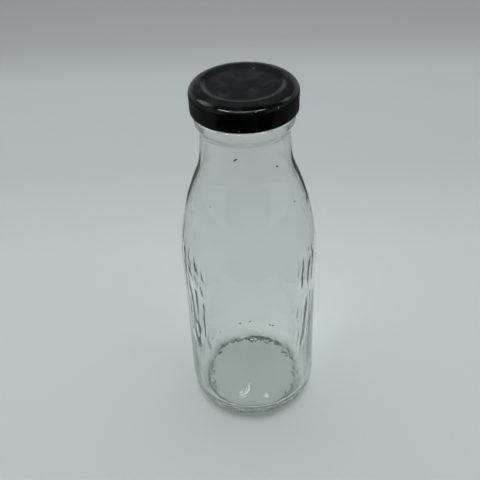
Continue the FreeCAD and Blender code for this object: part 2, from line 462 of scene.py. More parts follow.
@dataclass(frozen=True)
class BlackEnamel:
    """Gloss black stoving enamel on tinplate, with dust, finger marks and fine orange peel."""

    deep: Colour = (0.0018, 0.0018, 0.0020)
    worn: Colour = (0.0055, 0.0060, 0.0062)
    dust: Colour = (0.28, 0.28, 0.27)
    gloss: float = 0.13
    dulled: float = 0.30

    def material(self) -> bpy.types.Material:
        """Builds the enamel."""
        made, board = start_material("gloss_black_enamel")
        place = board.place()
        marks = board.speckle(place, 160.0, 5.0)
        body = board.blend(board.spread(marks, (0.42, 0.68), (0.0, 1.0)), self.deep, self.worn)
        sieve = {"Vector": place, "Scale": 520.0, "Randomness": 1.0}
        grains = board.add("TexVoronoi", sieve, feature="F1")
        near = board.spread(grains.outputs["Distance"], (0.10, 0.16), (1.0, 0.0))
        few = board.add("SeparateColor", {"Color": grains.outputs["Color"]})
        chosen = board.spread(few.outputs["Red"], (0.955, 0.965), (0.0, 1.0))
        specks = board.reckon("MULTIPLY", near, chosen)
        touched = board.spread(marks, (0.45, 0.72), (self.gloss, self.dulled))
        board.coat(
            {
                "IOR": 1.5,
                "Base Color": board.blend(specks, body, self.dust),
                "Roughness": board.reckon("MAXIMUM", touched, specks),
                "Normal": board.relief(board.speckle(place, 800.0), 0.00002, 0.25),
            }
        )
        return made


@dataclass(frozen=True)
class InsideLacquer:
    """The pale lacquer that lines the inside of the tinplate."""

    pale: Colour = (0.66, 0.64, 0.57)
    rubbed: Colour = (0.50, 0.48, 0.42)

    def material(self) -> bpy.types.Material:
        """Builds the lacquer, rubbed in patches."""
        made, board = start_material("inside_lacquer")
        place = board.place()
        patches = board.spread(board.speckle(place, 240.0, 4.0), (0.4, 0.7), (0.0, 1.0))
        fill = board.wear(patches, (self.pale, self.rubbed), (0.28, 0.45))
        grain = board.relief(board.speckle(place, 1500.0), 0.00002, 0.4)
        board.coat({"IOR": 1.5, "Normal": grain, **fill})
        return made


@dataclass(frozen=True)
class SealCompound:
    """The soft, satin compound moulded into the cap's channel."""

    cream: Colour = (0.57, 0.54, 0.46)
    stained: Colour = (0.44, 0.41, 0.33)

    def material(self) -> bpy.types.Material:
        """Builds the compound, slightly stained and pitted."""
        made, board = start_material("seal_compound")
        place = board.place()
        stains = board.spread(board.speckle(place, 300.0, 4.0), (0.45, 0.75), (0.0, 1.0))
        fill = board.wear(stains, (self.cream, self.stained), (0.48, 0.62))
        pits = board.relief(board.speckle(place, 2600.0, 3.0), 0.00004, 0.5)
        board.coat({"IOR": 1.47, "Normal": pits, **fill})
        return made


@dataclass(frozen=True)
class PaintedSpeckShade:
    """Near-black, dull specks just under the face of the glass. The seeds (air bubbles) they mark are
    real; their near-black colour is painted shade for the seeds' dark look.
    """

    dark: Colour = (0.020, 0.021, 0.019)
    warmer_shade: Colour = (0.045, 0.038, 0.028)

    def material(self) -> bpy.types.Material:
        """Builds the specks' painted shade, a little warmer in places."""
        made, board = start_material("painted_speck_shade")
        # Painted shade: the specks' dark colour, a little warmer in patches.
        warmth = board.spread(board.speckle(board.place(), 1800.0, 3.0), (0.4, 0.6), (0.0, 1.0))
        board.coat({"IOR": 1.5, **board.wear(warmth, (self.dark, self.warmer_shade), (0.55, 0.8))})
        return made


Finish = ClearGlass | BlackEnamel | InsideLacquer | SealCompound | PaintedSpeckShade


def dress(piece: bpy.types.Object, *finishes: Finish) -> None:
    """Gives a piece its finishes, in the order in which its faces count them."""
    for finish in finishes:
        piece.data.materials.append(finish.material())


@dataclass(frozen=True)
class Speck:
    """A small speck held just under the face of the glass where a seed is; its dark colour is painted
    shade.
    """

    turn: float
    height: float
    radius: float
    length: float
    width: float
    lean: float = 0.0

    def set_in(self, shape: bmesh.types.BMesh, slot: int) -> None:
        """Adds the speck to the glass.

        Args:
            shape: The glass that holds the speck.
            slot: The place of its finish among the finishes of the piece.
        """
        turn = math.radians(self.turn)
        middle = Vector((self.radius * math.cos(turn), self.radius * math.sin(turn), self.height))
        half = self.width * MM / 2.0
        place = Matrix.Translation(middle * MM) @ Matrix.Rotation(turn, 4, "Z")
        place = place @ Matrix.Rotation(math.radians(self.lean), 4, "X")
        place = place @ Matrix.Diagonal((half, half, self.length * MM / 2.0, 1.0))
        made = bmesh.ops.create_icosphere(shape, subdivisions=2, radius=1.0, matrix=place)
        for face in {face for point in made["verts"] for face in point.link_faces}:
            face.smooth = True
            face.material_index = slot


@dataclass(frozen=True)
class FoldPatch:
    """A patch of the blown inside that came out folded, by its turn round the axis and its height."""

    turns: Pair
    turn_edge: float
    heights: Pair
    height_edge: float
    strength: float = 1.0

    def share(self, turn: float, height: float) -> float:
        """How strongly the glass is folded at a place, from 0 to the patch's own strength."""
        round_share = self.strength * band(*self.turns, self.turn_edge, turn)
        return round_share * band(*self.heights, self.height_edge, height)


@dataclass
class MilkBottleGlass:
    """The blown glass: punt, heel, body, shoulder, neck, bead and threaded finish."""

    base_radius: float = 30.1
    body_radius: float = 29.25
    taper_top: float = 57.0
    wall: float = 2.2
    heel_curve: float = 7.0
    heel_slope: float = 55.0
    foot_radius: float = 25.45
    foot_round: float = 1.6
    inner_heel_curve: float = 7.0
    base_thickness: float = 4.5
    punt_edge_radius: float = 23.2
    punt_bevel: float = 0.8
    punt_height: float = 3.0
    shoulder_start: float = 82.0
    shoulder_curve: float = 109.5
    neck_curve: float = 34.0
    neck_taper: float = 3.6
    bore_radius: float = 15.4
    rim_height: float = 161.0
    finish_radius: float = 17.4
    lip_round: float = 1.0
    bore_round: float = 0.5
    bore_ease_foot: float = 112.0
    bore_ease_full: float = 135.0
    bore_ease_top: float = 146.0
    bore_ease_reach: float = 9.0
    bead_radius: float = 19.0
    bead_face_low: float = 148.6
    bead_top: float = 151.8
    bead_round: float = 1.2
    bead_flank: float = 30.0
    flank_round: float = 3.0
    thread_starts: int = 3
    thread_lead: float = 12.0
    thread_arc: float = 130.0
    thread_depth: float = 1.1
    thread_root: float = 1.6
    thread_crest: float = 0.8
    thread_start_height: float = 153.2
    thread_toe: float = 0.15
    thread_ease: float = 0.1
    thread_fade: float = 9.0
    segments: int = 264
    ripple: float = 0.64
    floor_back: float = 19.0
    floor_side: float = 22.4
    floor_front: float = 21.0
    floor_still: float = 10.0
    settle_width: float = 4.5
    settle: float = 2.0
    settle_step: float = 0.7
    groove_depth: float = 0.85
    groove_width: float = 0.7
    groove_offset: float = 0.6
    layers: int = 3
    layer_step: float = 0.4
    layer_spacing: float = 0.9
    layer_turns: tuple[tuple[float, float, float], ...] = ((92.0, 128.0, 8.0), (338.0, 352.0, 6.0))
    slow_wander: Wave = Wave(16.0, 1.0, 3.7, 1.4)
    stepped_wander: Wave = Wave(44.0, 1.0, 9.1)
    step_share: float = 2.6
    step_lift: float = 0.3
    fine_wander: Wave = Wave(120.0, 1.0, 5.3, 0.8)
    layer_wander: Wave = Wave(60.0, 1.0, 11.0, 1.6)
    folds: Wave = Wave(60.0, 26.0, 1.3, 0.6)
    fold_lean: float = 0.0015
    creases: Wave = Wave(96.0, 15.0, 6.9)
    crease_share: float = 0.45
    teeth: Wave = Wave(90.0, 4.0, 3.1, 0.5)
    teeth_foot: float = 66.0
    teeth_full: float = 76.0
    teeth_lean: float = 0.01
    body_wave: Wave = Wave(12.0, 40.0, 2.2, 0.12)
    floor_wave: Wave = Wave(10.0, 9.0, 4.4, 0.12)
    least_fold: float = 0.07
    fold_foot: float = 30.0
    fold_full: float = 44.0
    fold_patches: tuple[FoldPatch, ...] = (
        FoldPatch((193.0, 224.0), 9.0, (46.0, 90.0), 6.0),
        FoldPatch((316.0, 337.0), 7.0, (46.0, 66.0), 6.0, 0.8),
        FoldPatch((316.0, 337.0), 7.0, (80.0, 92.0), 4.0, 0.8),
    )
    inside_skin: float = 0.1
    grip_bars: int = 54
    grip_height: float = 0.28
    grip_inner: float = 23.7
    grip_outer: float = 25.2
    grip_bulge: float = 0.3
    seam_height: float = 0.05
    seam_width: float = 0.7
    seam_fade: float = 116.0
    seam_top: float = 132.0
    seam_turn: float = 97.0
    # Specks at the neck and round the heel mark seeds in the glass, darkened with painted shade.
    specks: tuple[Speck, ...] = (
        Speck(-103.1, 140.1, 16.5, 1.9, 0.6, -52.0),
        Speck(-49.3, 134.7, 16.9, 1.1, 0.6, 40.0),
        Speck(-130.5, 119.8, 21.5, 0.8, 0.5),
        Speck(-35.8, 118.5, 21.9, 1.0, 0.45, 10.0),
    )
    heel_speck: Speck = Speck(0.0, 8.9, 29.2, 1.5, 0.8, 25.0)
    heel_turns: tuple[float, ...] = (154.0, 150.5, 147.0, 141.0, 131.0, 103.0, 92.5, 87.5, 66.0, 63.0)
    finish: ClearGlass = field(default_factory=ClearGlass)
    # The specks' near-black finish is painted shade for the seeds' dark look.
    scale: PaintedSpeckShade = field(default_factory=PaintedSpeckShade)

    def outline(self) -> Outline:
        """Draws the wall from the middle of the punt out, up to the rim and down inside."""
        inner_radius = self.body_radius - self.wall
        dome_edge = self.punt_edge_radius - self.punt_bevel
        dome_rise = self.punt_height - self.punt_bevel
        dome_curve = (dome_edge**2 + dome_rise**2) / (2.0 * dome_rise)
        slope = math.radians(self.heel_slope)
        foot_run = self.foot_round * math.tan(slope / 2.0)
        heel_centre = self.base_radius - self.heel_curve
        heel_reach = math.sin(slope) * (heel_centre - self.foot_radius)
        heel_height = (self.heel_curve + heel_reach) / math.cos(slope)
        heel_across = heel_centre + self.heel_curve * math.sin(slope)
        heel_up = heel_height - self.heel_curve * math.cos(slope)
        shoulder_centre = self.body_radius - self.shoulder_curve
        neck_centre = self.bore_radius + self.wall + self.neck_curve
        reach = self.shoulder_curve + self.neck_curve
        run = neck_centre - shoulder_centre
        rise = math.sqrt(reach * reach - run * run)
        neck_height = self.shoulder_start + rise
        taper = math.radians(self.neck_taper)
        neck_end = neck_centre - self.neck_curve * math.cos(taper)
        neck_end_height = neck_height - self.neck_curve * math.sin(taper)
        flank = math.radians(self.bead_flank)
        flank_top = self.bead_radius - self.bead_round * (1.0 - math.cos(flank))
        flank_top_height = self.bead_face_low - self.bead_round * math.sin(flank)
        slopes = math.tan(flank) + math.tan(taper)
        lift = neck_end + neck_end_height * math.tan(taper) - flank_top
        foot_height = (lift + flank_top_height * math.tan(flank)) / slopes
        foot = neck_end - (foot_height - neck_end_height) * math.tan(taper)
        blend = self.flank_round * math.tan((flank + taper) / 2.0)
        floor_edge = inner_radius - self.inner_heel_curve
        floor_curve = (floor_edge**2 + self.punt_height**2) / (2.0 * self.punt_height)
        outer_share = self.shoulder_curve / reach
        inner_share = (self.shoulder_curve - self.wall) / reach

        pen = Outline()
        pen.start(0.0, self.punt_height, Wall.PUNT)
        pen.arc_to(dome_edge, self.punt_bevel, -dome_curve, 1.3)
        pen.line_to(self.punt_edge_radius, 0.0, 0.25)
        pen.line_to(self.foot_radius - foot_run, 0.0, 0.35, Wall.HEEL)
        foot_across = self.foot_radius + foot_run * math.cos(slope)
        pen.arc_to(foot_across, foot_run * math.sin(slope), self.foot_round, 0.25)
        pen.line_to(heel_across, heel_up, 0.6)
        pen.arc_to(self.base_radius, heel_height, self.heel_curve, 0.5)
        pen.line_to(self.body_radius, self.taper_top, 3.2, Wall.OUTSIDE)
        pen.line_to(self.body_radius, self.shoulder_start, 3.2)
        pen.arc_to(
            shoulder_centre + run * outer_share,
            self.shoulder_start + rise * outer_share,
            self.shoulder_curve,
            1.7,
        )
        pen.arc_to(neck_end, neck_end_height, -self.neck_curve, 1.2)
        neck_top = foot_height - blend * math.cos(taper)
        pen.line_to(foot + blend * math.sin(taper), neck_top, 1.2)
        flank_low = foot_height + blend * math.cos(flank)
        pen.arc_to(foot + blend * math.sin(flank), flank_low, -self.flank_round, 0.4)
        pen.line_to(flank_top, flank_top_height, 0.5)
        pen.arc_to(self.bead_radius, self.bead_face_low, self.bead_round, 0.2)
        pen.line_to(self.bead_radius, self.bead_top - self.bead_round, 0.7)
        pen.arc_to(self.bead_radius - self.bead_round, self.bead_top, self.bead_round, 0.25)
        pen.line_to(self.finish_radius, self.bead_top, 0.3, Wall.FINISH)
        pen.line_to(self.finish_radius, self.rim_height - self.lip_round, 0.27)
        pen.arc_to(self.finish_radius - self.lip_round, self.rim_height, self.lip_round, 0.25)
        pen.line_to(self.bore_radius + self.bore_round, self.rim_height, 0.6, Wall.INSIDE)
        pen.arc_to(self.bore_radius, self.rim_height - self.bore_round, self.bore_round, 0.25)
        pen.line_to(self.bore_radius, neck_height, 1.4)
        pen.arc_to(
            shoulder_centre + run * inner_share,
            self.shoulder_start + rise * inner_share,
            self.neck_curve + self.wall,
            1.4,
        )
        pen.arc_to(inner_radius, self.shoulder_start, -(self.shoulder_curve - self.wall), 1.6)
        pen.line_to(inner_radius, self.base_thickness + self.inner_heel_curve, 1.5)
        pen.arc_to(floor_edge, self.base_thickness, -self.inner_heel_curve, 0.25, Wall.INNER_HEEL)
        settled = floor_edge - self.settle_width
        settled_drop = floor_curve - math.sqrt(floor_curve**2 - settled**2)
        floor_top = self.punt_height + self.base_thickness
        pen.arc_to(settled, floor_top - settled_drop, floor_curve, 0.25, Wall.FLOOR)
        pen.arc_to(0.0, floor_top, floor_curve, 1.2)
        return pen

    def _thread(self, height: float, angle: float) -> float:
        """How far the thread stands out of the finish at a place.

        Args:
            height: The height above the foot.
            angle: The place round the axis, in radians.

        Returns:
            The thread's height above the finish.
        """
        pitch = 360.0 / self.thread_starts
        tallest = 0.0
        for start in range(self.thread_starts):
            along = (math.degrees(angle) - start * pitch) % 360.0
            if along > self.thread_arc:
                continue
            middle = self.thread_start_height + self.thread_root / 2.0
            middle += self.thread_lead * along / 360.0
            away = abs(height - middle)
            toe = self.thread_root / 2.0 + self.thread_toe
            ridge = smooth_step(toe, self.thread_crest / 2.0 - self.thread_ease, away)
            ends = band(self.thread_fade, self.thread_arc - self.thread_fade, self.thread_fade, along)
            tallest = max(tallest, ridge * ends)
        return self.thread_depth * tallest

    def _floor_reach(self, angle: float) -> float:
        """How far from the axis the flat of the floor ends: near at the back, far at the sides."""
        back = math.sin(angle)
        reach = self.floor_back if back > 0.0 else self.floor_front
        return self.floor_side + (reach - self.floor_side) * back * back

    def _settle_line(self, angle: float) -> float:
        """How far from the axis the settled glass ends, in a broken line round the floor."""
        steps = self.step_share * (self.step_lift - abs(self.stepped_wander.at(angle)))
        wander = self.slow_wander.at(angle) + steps + self.fine_wander.at(angle)
        return self._floor_reach(angle) + self.settle * wander

    def _settle_rise(self, radius: float, angle: float) -> float:
        """How far the glass has risen over the broken line, and over thin layers inside it.

        Args:
            radius: The distance from the axis.
            angle: The place round the axis, in radians.

        Returns:
            The rise in millimetres, less the groove along the line's inner side.
        """
        turn = math.degrees(angle) % 360.0
        line = self._settle_line(angle)
        groove = smooth_step(self.groove_width, 0.0, abs(radius - line + self.groove_offset))
        rise = self.settle_step * smooth_step(line - 0.3, line + 0.3, radius)
        layered = sum(band(*reach, turn) for reach in self.layer_turns)
        for layer in range(1, self.layers + 1):
            edge = line + self.layer_spacing * layer + self.layer_wander.at(angle, 0.0, layer)
            rise += self.layer_step * layered * smooth_step(edge - 0.25, edge + 0.25, radius)
        return rise - self.groove_depth * groove

    def _fold_reach(self, angle: float, height: float) -> float:
        """How strong the folds are at a place, from 0 to 1."""
        turn = math.degrees(angle) % 360.0
        return max(self.least_fold, *(patch.share(turn, height) for patch in self.fold_patches))

    def _inner_ripple(self, station: Station, angle: float) -> float:
        """How far the blown inside of the body waves in and out."""
        height = station.height
        reach = self._fold_reach(angle, height) * smooth_step(self.fold_foot, self.fold_full, height)
        lean = angle - self.fold_lean * height
        creases = self.crease_share * (0.5 - 2.0 * abs(self.creases.at(lean, height)))
        teeth = self.teeth.at(lean + self.teeth_lean * height, height)
        teeth *= smooth_step(self.teeth_foot, self.teeth_full, height)
        folded = self.folds.at(lean, height) + creases + teeth
        return reach * self.ripple * folded + self.body_wave.at(angle, height)

    def _bore_ease(self, height: float) -> float:
        """How far the bore opens below the finish, where it keeps level with the tapered neck."""
        down = min(max(self.bore_ease_top - height, 0.0), self.bore_ease_reach)
        ease = smooth_step(self.bore_ease_foot, self.bore_ease_full, height)
        return down * math.tan(math.radians(self.neck_taper)) * ease

    def _seam(self, angle: float) -> float:
        """The two parting lines of the mould, on opposite sides."""
        from_seam = abs(math.sin(angle - math.radians(self.seam_turn))) * self.body_radius
        return self.seam_height * smooth_step(self.seam_width, 0.1, from_seam)

    def relief(self, station: Station, angle: float) -> Pair:
        """Moves a point of the plain section to where the mould and the blowing leave it.

        Args:
            station: The point of the section.
            angle: Its place round the axis, in radians.

        Returns:
            The point's radius and height.
        """
        radius = station.radius
        height = station.height
        if station.wall is Wall.FINISH:
            radius += self._thread(height, angle)
        elif station.wall is Wall.HEEL:
            wave = 0.5 + 0.5 * math.cos(angle * self.grip_bars)
            ring = band(self.grip_inner, self.grip_outer, 0.5, radius)
            stand = self.grip_height * ring * smooth_step(0.35, 0.8, wave)
            height = max(0.0, height - stand)
            radius += stand * self.grip_bulge
        elif station.wall is Wall.OUTSIDE:
            sunk = self._seam(angle) - self.seam_height
            radius += sunk * smooth_step(self.seam_top, self.seam_fade, height)
        elif station.wall is Wall.INSIDE:
            if height < self.bore_ease_foot:
                radius -= self.inside_skin + self._inner_ripple(station, angle)
            radius += self._bore_ease(height)
        elif station.wall is Wall.INNER_HEEL:
            inner = self.body_radius - self.wall
            flat = inner - self.inner_heel_curve
            reach = self._floor_reach(angle)
            level = Station(inner, self.base_thickness + self.inner_heel_curve, Wall.INSIDE)
            share = (height - self.base_thickness) / self.inner_heel_curve
            radius = reach + (inner - reach) * (radius - flat) / self.inner_heel_curve
            height += self._settle_rise(radius, angle) * smooth_step(0.8, 0.1, share)
            radius -= (self.inside_skin + self._inner_ripple(level, angle)) * share
        elif station.wall is Wall.FLOOR:
            flat = self.body_radius - self.wall - self.inner_heel_curve
            radius += (self._floor_reach(angle) - flat) * smooth_step(self.floor_still, flat, radius)
            height += self._settle_rise(radius, angle)
            height += self.floor_wave.at(angle, radius) * min(1.0, radius / 6.0)
        return radius, height

    def build(self) -> bpy.types.Object:
        """Makes the glass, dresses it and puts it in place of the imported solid."""
        turning = Turning("bottle_glass", self.outline(), self.segments, self.relief)
        piece = turning.build()
        shape = bmesh.new()
        shape.from_mesh(piece.data)
        heel_specks = [replace(self.heel_speck, turn=turn) for turn in self.heel_turns]
        for speck in [*self.specks, *heel_specks]:
            speck.set_in(shape, 1)
        shape.to_mesh(piece.data)
        shape.free()
        dress(piece, self.finish, self.scale)
        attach(piece, "bottle")
        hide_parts("glass_bottle")
        return piece


@dataclass
class TwistOffCap:
    """The tinplate shell of the cap, with its sunk panel, rolled curl and lugs."""

    radius: float = 20.2
    top: float = 162.4
    depth: float = 10.0
    sheet: float = 0.25
    shoulder: float = 4.2
    crown_round: float = 7.0
    crown_turn: float = 12.0
    panel_radius: float = 13.4
    panel_depth: float = 0.8
    panel_rise: float = 2.1
    curl_round: float = 0.65
    lugs: int = 3
    lug_reach: float = 1.0
    lug_arc: float = 22.0
    lug_angle: float = 25.0
    lug_fade: float = 1.5
    lug_flat: float = 3.0
    lug_squeeze: float = 0.35
    segments: int = 252
    enamel: BlackEnamel = field(default_factory=BlackEnamel)
    lacquer: InsideLacquer = field(default_factory=InsideLacquer)

    def _crown(self) -> tuple[float, float, float, float]:
        """Works out where the gently rounded crown meets the tighter turn into the skirt.

        Returns:
            The radius and height where they meet, the tighter turn's own radius, and its foot.
        """
        turn = math.radians(self.crown_turn)
        across = self.radius - self.shoulder + self.crown_round * math.sin(turn)
        up = self.top - self.crown_round * (1.0 - math.cos(turn))
        tight = (self.radius - across) / (1.0 - math.sin(turn))
        return across, up, tight, up - tight * math.cos(turn)

    def _panel_step(self, pen: Outline, drop: float, outward: bool) -> None:
        """Draws the gentle step between the sunk panel and the ring round it.

        Args:
            pen: The outline to go on with.
            drop: How far below the outer face this side of the sheet lies.
            outward: Whether the pen is on its way out from the axis.
        """
        steps = 12
        low = self.top - self.panel_depth - drop
        order = range(1, steps + 1) if outward else range(steps - 1, -1, -1)
        for step in order:
            share = step / steps
            rise = self.panel_depth * smooth_step(0.0, 1.0, share)
            pen.line_to(self.panel_radius + self.panel_rise * share, low + rise, 1.0)

    def outline(self) -> Outline:
        """Draws the sheet over the top, down to the curl, round it and back along the inside."""
        edge = self.radius - self.shoulder
        crown, crown_height, tight, foot = self._crown()
        slip = self.sheet * math.sin(math.radians(self.crown_turn))
        curl_centre = self.radius - self.curl_round
        curl_height = self.top - self.depth + self.curl_round
        curl_inner = self.curl_round - self.sheet
        inner = self.radius - self.sheet
        pen = Outline()
        pen.start(0.0, self.top - self.panel_depth, Wall.ENAMEL)
        pen.line_to(self.panel_radius, self.top - self.panel_depth, 1.5)
        self._panel_step(pen, 0.0, True)
        pen.line_to(edge, self.top, 0.5)
        pen.arc_to(crown, crown_height, -self.crown_round, 0.3)
        pen.arc_to(self.radius, foot, -tight, 0.2)
        pen.line_to(self.radius, curl_height, 1.0)
        pen.arc_to(curl_centre, curl_height - self.curl_round, -self.curl_round, 0.12, Wall.CURL)
        pen.arc_to(curl_centre - self.curl_round, curl_height, -self.curl_round, 0.12)
        pen.arc_to(curl_centre, curl_height + self.curl_round, -self.curl_round, 0.12)
        pen.line_to(curl_centre, curl_height + curl_inner, 0.2)
        pen.arc_to(curl_centre - curl_inner, curl_height, curl_inner, 0.12)
        pen.arc_to(curl_centre, curl_height - curl_inner, curl_inner, 0.12)
        pen.arc_to(inner, curl_height, curl_inner, 0.12)
        pen.line_to(inner, foot, 1.0, Wall.LACQUER)
        crown_below = crown_height - self.sheet * math.cos(math.radians(self.crown_turn))
        pen.arc_to(crown - slip, crown_below, tight - self.sheet, 0.3)
        pen.arc_to(edge, self.top - self.sheet, self.crown_round - self.sheet, 0.4)
        pen.line_to(self.panel_radius + self.panel_rise, self.top - self.sheet, 0.5)
        self._panel_step(pen, self.sheet, False)
        pen.line_to(0.0, self.top - self.panel_depth - self.sheet, 1.5)
        return pen

    def relief(self, station: Station, angle: float) -> Pair:
        """Presses the curl inwards into a lug at each thread.

        Args:
            station: The point of the section.
            angle: Its place round the axis, in radians.

        Returns:
            The point's radius and height.
        """
        curl_centre = self.radius - self.curl_round
        if station.wall is not Wall.CURL or station.radius >= curl_centre:
            return station.radius, station.height
        spacing = 360.0 / self.lugs
        away = (math.degrees(angle) - self.lug_angle + spacing / 2.0) % spacing - spacing / 2.0
        half = self.lug_arc / 2.0
        press = smooth_step(half + self.lug_fade, half - self.lug_flat, abs(away))
        curl_height = self.top - self.depth + self.curl_round
        inward = (curl_centre - station.radius) / self.curl_round
        radius = station.radius - press * self.lug_reach * inward
        kept = 1.0 - self.lug_squeeze * press * inward
        return radius, curl_height + (station.height - curl_height) * kept

    def build(self) -> bpy.types.Object:
        """Makes the shell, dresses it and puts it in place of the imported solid."""
        turning = Turning("cap_shell_dressed", self.outline(), self.segments, self.relief)
        turning.finishes[Wall.LACQUER] = 1
        piece = turning.build()
        piece.data.flip_normals()
        dress(piece, self.enamel, self.lacquer)
        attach(piece, "cap")
        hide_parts("cap_shell")
        return piece


@dataclass
class SealingRing:
    """The ring of compound in the cap's channel, with the groove the rim has pressed in it."""

    inner_radius: float = 15.2
    crown_radius: float = 16.9
    skirt_radius: float = 17.9
    rest: float = 161.05
    top: float = 162.1
    channel_edge: float = 16.0
    channel_foot: float = 158.2
    channel_round: float = 3.9
    skirt_angle: float = 30.0
    edge_round: float = 0.2
    foot_round: float = 0.15
    groove: float = 0.16
    groove_inner: float = 15.75
    groove_outer: float = 16.35
    groove_edge: float = 0.35
    unevenness: Wave = Wave(30.0, 1.0, 7.7, 0.08)
    segments: int = 180
    compound: SealCompound = field(default_factory=SealCompound)

    def outline(self) -> Outline:
        """Draws the ring from its inner edge, down over the rim's groove and back over the top."""
        turn = math.radians(self.skirt_angle)
        skirt = self.channel_edge + self.channel_round * math.cos(turn)
        skirt_foot = self.channel_foot + self.channel_round * math.sin(turn)
        pen = Outline()
        edge = self.edge_round
        foot = self.foot_round
        pen.start(self.inner_radius + edge, self.rest, Wall.COMPOUND)
        pen.line_to(self.crown_radius, self.rest, 0.15)
        pen.line_to(self.skirt_radius, skirt_foot + foot, 0.2)
        pen.arc_to(self.skirt_radius + foot, skirt_foot, foot, 0.08)
        pen.line_to(skirt - foot, skirt_foot, 0.3)
        pen.arc_to(skirt, skirt_foot + foot, foot, 0.08)
        pen.arc_to(self.channel_edge, self.top, self.channel_round, 0.25)
        pen.line_to(self.inner_radius + edge, self.top, 0.3)
        pen.arc_to(self.inner_radius, self.top - edge, edge, 0.1)
        pen.line_to(self.inner_radius, self.rest + edge, 0.25)
        pen.arc_to(self.inner_radius + edge, self.rest, edge, 0.1)
        pen.stations.pop()
        return pen

    def relief(self, station: Station, angle: float) -> Pair:
        """Presses the rim's groove into the underside and leaves the pour slightly uneven.

        Args:
            station: The point of the section.
            angle: Its place round the axis, in radians.

        Returns:
            The point's radius and height.
        """
        height = station.height
        radius = station.radius
        if height < self.rest + 0.01 and radius < self.crown_radius:
            height += self.groove * band(self.groove_inner, self.groove_outer, self.groove_edge, radius)
        if radius < self.inner_radius + 0.21:
            radius += self.unevenness.reach + self.unevenness.at(angle)
        return radius, height

    def build(self) -> bpy.types.Object:
        """Makes the ring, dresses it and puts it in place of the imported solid."""
        turning = Turning("sealing_ring_dressed", self.outline(), self.segments, self.relief, True)
        piece = turning.build()
        dress(piece, self.compound)
        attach(piece, "seal")
        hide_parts("sealing_ring")
        return piece


class Reach(Enum):
    """The kinds of ray that find a lamp or a board; the camera's own never do."""

    EVERYTHING = ("diffuse", "glossy", "transmission")
    FLOOR_ONLY = ("diffuse",)
    REFLECTIONS = ("glossy",)
    THROUGH_GLASS = ("transmission",)

    def limit(self, thing: bpy.types.Object) -> None:
        """Hides a lamp or a board from all other rays."""
        thing.visible_camera = False
        for kind in Reach.EVERYTHING.value:
            setattr(thing, "visible_" + kind, kind in self.value)


@dataclass(frozen=True)
class SoftLamp:
    """A flat soft lamp aimed at the middle of the bottle."""

    name: str
    place: Place
    width: float
    depth: float
    power: float
    reach: Reach = Reach.EVERYTHING

    def hang(self, target: Vector) -> None:
        """Hangs the lamp in the scene, facing the target."""
        data = bpy.data.lights.new(self.name, "AREA")
        data.shape = "RECTANGLE"
        data.size = self.width
        data.size_y = self.depth
        data.energy = self.power
        lamp = put_in_scene(self.name, data)
        lamp.location = self.place
        lamp.rotation_euler = (Vector(self.place) - target).to_track_quat("Z", "Y").to_euler()
        self.reach.limit(lamp)


@dataclass(frozen=True)
class Flag:
    """A matt dark board that only reflections find, as a studio sets one up to keep gloss black."""

    name: str
    first: Place
    last: Place
    shade: float = 0.002

    def set_up(self) -> None:
        """Stands or lays the board between its first corner and its last."""
        side = (self.last[0], self.first[1], self.first[2])
        other_side = (self.first[0], self.last[1], self.last[2])
        mesh = bpy.data.meshes.new(self.name)
        mesh.from_pydata((self.first, side, self.last, other_side), [], [(0, 1, 2, 3)])
        made, nodes = start_material(self.name)
        felt = nodes.add("BsdfDiffuse", {"Color": (self.shade, self.shade, self.shade, 1.0)})
        nodes.add("OutputMaterial", {"Surface": felt.outputs["BSDF"]})
        mesh.materials.append(made)
        board_object = put_in_scene(self.name, mesh)
        board_object.visible_shadow = False
        Reach.REFLECTIONS.limit(board_object)


STUDIO_LAMPS = (
    SoftLamp("overhead_lamp", (0.0, 0.05, 1.15), 1.1, 1.1, 12.7, Reach.FLOOR_ONLY),
    SoftLamp("left_window", (-0.74, 0.15, 0.68), 0.42, 0.42, 1.0),
    SoftLamp("right_window", (0.76, 0.20, 0.62), 0.30, 0.36, 0.30),
    SoftLamp("high_lamp_left", (-0.19, 0.22, 1.07), 0.28, 0.09, 0.60, Reach.THROUGH_GLASS),
    SoftLamp("high_lamp_right", (0.21, 0.17, 1.07), 0.20, 0.09, 0.60, Reach.THROUGH_GLASS),
    SoftLamp("front_strip_left", (-0.50, -0.52, 0.66), 0.34, 0.06, 1.3, Reach.REFLECTIONS),
    SoftLamp("front_strip_middle", (-0.04, -0.70, 0.66), 0.56, 0.035, 0.9, Reach.REFLECTIONS),
    SoftLamp("front_strip_right", (0.40, -0.60, 0.66), 0.26, 0.05, 0.7, Reach.REFLECTIONS),
)
# The dark boards lie just above the floor and stop short of the bottle on every side.
BOARD_LIFT = 0.002
BOARD_END = 1.2
BOARD_NEAR = -0.155
BOARD_FRONT = -0.95
BOARD_GAP = 0.11
BOARD_BACK = 0.60
STUDIO_FLAGS = (
    Flag("front_flag", (-BOARD_END, BOARD_NEAR, BOARD_LIFT), (BOARD_END, BOARD_FRONT, BOARD_LIFT)),
    Flag("front_wall_flag", (-BOARD_END, BOARD_FRONT, BOARD_LIFT), (BOARD_END, BOARD_FRONT, 0.42)),
    Flag("left_flag", (-BOARD_GAP, BOARD_NEAR, BOARD_LIFT), (-BOARD_END, BOARD_BACK, BOARD_LIFT), 0.10),
    Flag("right_flag", (BOARD_GAP, BOARD_NEAR, BOARD_LIFT), (BOARD_END, BOARD_BACK, BOARD_LIFT), 0.07),
)


